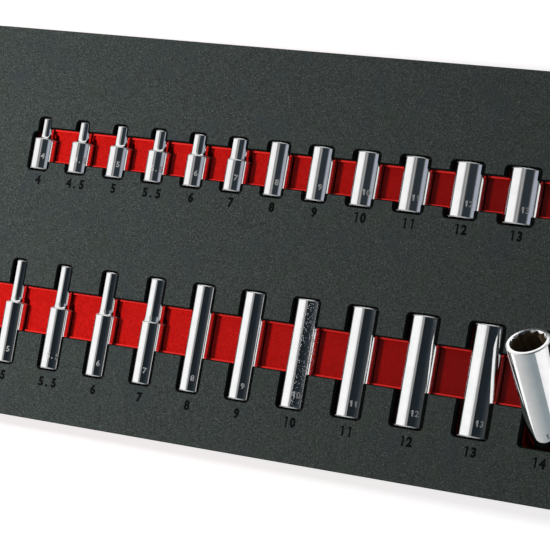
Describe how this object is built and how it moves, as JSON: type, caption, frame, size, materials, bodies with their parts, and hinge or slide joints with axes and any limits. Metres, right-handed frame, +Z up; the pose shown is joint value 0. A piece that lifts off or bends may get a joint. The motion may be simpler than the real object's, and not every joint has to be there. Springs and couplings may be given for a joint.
{
  "type": "foam socket tray",
  "caption": "Two-layer foam drawer tray holding a shallow and a deep row of small-drive twelve-point sockets in cut pockets with finger channels; each socket lifts out.",
  "frame": {"origin": "centre of the tray's underside, which lies on the drawer floor", "axes": "+X along the rows towards the large sockets, +Y towards the back of the drawer, +Z up"},
  "size_m": [0.408, 0.189, 0.0622],
  "materials": {
    "red_foam": "closed-cell foam, matt",
    "black_foam": "closed-cell foam, fine matt grain",
    "polished_chrome": "mirror-polished chrome plate"
  },
  "bodies": {
    "tray": {"foam_base": "red_foam", "foam_top": "black_foam"},
    "shallow_4": {"shallow_4": "polished_chrome"},
    "shallow_4_5": {"shallow_4_5": "polished_chrome"},
    "shallow_5": {"shallow_5": "polished_chrome"},
    "shallow_5_5": {"shallow_5_5": "polished_chrome"},
    "shallow_6": {"shallow_6": "polished_chrome"},
    "shallow_7": {"shallow_7": "polished_chrome"},
    "shallow_8": {"shallow_8": "polished_chrome"},
    "shallow_9": {"shallow_9": "polished_chrome"},
    "shallow_10": {"shallow_10": "polished_chrome"},
    "shallow_11": {"shallow_11": "polished_chrome"},
    "shallow_12": {"shallow_12": "polished_chrome"},
    "shallow_13": {"shallow_13": "polished_chrome"},
    "shallow_14": {"shallow_14": "polished_chrome"},
    "deep_4": {"deep_4": "polished_chrome"},
    "deep_4_5": {"deep_4_5": "polished_chrome"},
    "deep_5": {"deep_5": "polished_chrome"},
    "deep_5_5": {"deep_5_5": "polished_chrome"},
    "deep_6": {"deep_6": "polished_chrome"},
    "deep_7": {"deep_7": "polished_chrome"},
    "deep_8": {"deep_8": "polished_chrome"},
    "deep_9": {"deep_9": "polished_chrome"},
    "deep_10": {"deep_10": "polished_chrome"},
    "deep_11": {"deep_11": "polished_chrome"},
    "deep_12": {"deep_12": "polished_chrome"},
    "deep_13": {"deep_13": "polished_chrome"},
    "deep_14": {"deep_14": "polished_chrome"}
  },
  "joints": [
    {"name": "shallow_4_lift", "type": "slide", "parent": "tray", "child": "shallow_4", "axis": [0, 0, 1], "range_m": [0, 0.04]},
    {"name": "shallow_4_5_lift", "type": "slide", "parent": "tray", "child": "shallow_4_5", "axis": [0, 0, 1], "range_m": [0, 0.04]},
    {"name": "shallow_5_lift", "type": "slide", "parent": "tray", "child": "shallow_5", "axis": [0, 0, 1], "range_m": [0, 0.04]},
    {"name": "shallow_5_5_lift", "type": "slide", "parent": "tray", "child": "shallow_5_5", "axis": [0, 0, 1], "range_m": [0, 0.04]},
    {"name": "shallow_6_lift", "type": "slide", "parent": "tray", "child": "shallow_6", "axis": [0, 0, 1], "range_m": [0, 0.04]},
    {"name": "shallow_7_lift", "type": "slide", "parent": "tray", "child": "shallow_7", "axis": [0, 0, 1], "range_m": [0, 0.04]},
    {"name": "shallow_8_lift", "type": "slide", "parent": "tray", "child": "shallow_8", "axis": [0, 0, 1], "range_m": [0, 0.04]},
    {"name": "shallow_9_lift", "type": "slide", "parent": "tray", "child": "shallow_9", "axis": [0, 0, 1], "range_m": [0, 0.04]},
    {"name": "shallow_10_lift", "type": "slide", "parent": "tray", "child": "shallow_10", "axis": [0, 0, 1], "range_m": [0, 0.04]},
    {"name": "shallow_11_lift", "type": "slide", "parent": "tray", "child": "shallow_11", "axis": [0, 0, 1], "range_m": [0, 0.04]},
    {"name": "shallow_12_lift", "type": "slide", "parent": "tray", "child": "shallow_12", "axis": [0, 0, 1], "range_m": [0, 0.04]},
    {"name": "shallow_13_lift", "type": "slide", "parent": "tray", "child": "shallow_13", "axis": [0, 0, 1], "range_m": [0, 0.04]},
    {"name": "shallow_14_lift", "type": "slide", "parent": "tray", "child": "shallow_14", "axis": [0, 0, 1], "range_m": [0, 0.04]},
    {"name": "deep_4_lift", "type": "slide", "parent": "tray", "child": "deep_4", "axis": [0, 0, 1], "range_m": [0, 0.04]},
    {"name": "deep_4_5_lift", "type": "slide", "parent": "tray", "child": "deep_4_5", "axis": [0, 0, 1], "range_m": [0, 0.04]},
    {"name": "deep_5_lift", "type": "slide", "parent": "tray", "child": "deep_5", "axis": [0, 0, 1], "range_m": [0, 0.04]},
    {"name": "deep_5_5_lift", "type": "slide", "parent": "tray", "child": "deep_5_5", "axis": [0, 0, 1], "range_m": [0, 0.04]},
    {"name": "deep_6_lift", "type": "slide", "parent": "tray", "child": "deep_6", "axis": [0, 0, 1], "range_m": [0, 0.04]},
    {"name": "deep_7_lift", "type": "slide", "parent": "tray", "child": "deep_7", "axis": [0, 0, 1], "range_m": [0, 0.04]},
    {"name": "deep_8_lift", "type": "slide", "parent": "tray", "child": "deep_8", "axis": [0, 0, 1], "range_m": [0, 0.04]},
    {"name": "deep_9_lift", "type": "slide", "parent": "tray", "child": "deep_9", "axis": [0, 0, 1], "range_m": [0, 0.04]},
    {"name": "deep_10_lift", "type": "slide", "parent": "tray", "child": "deep_10", "axis": [0, 0, 1], "range_m": [0, 0.04]},
    {"name": "deep_11_lift", "type": "slide", "parent": "tray", "child": "deep_11", "axis": [0, 0, 1], "range_m": [0, 0.04]},
    {"name": "deep_12_lift", "type": "slide", "parent": "tray", "child": "deep_12", "axis": [0, 0, 1], "range_m": [0, 0.04]},
    {"name": "deep_13_lift", "type": "slide", "parent": "tray", "child": "deep_13", "axis": [0, 0, 1], "range_m": [0, 0.04]},
    {"name": "deep_14_lift", "type": "slide", "parent": "tray", "child": "deep_14", "axis": [0, 0, 1], "range_m": [0, 0.04]}
  ]
}
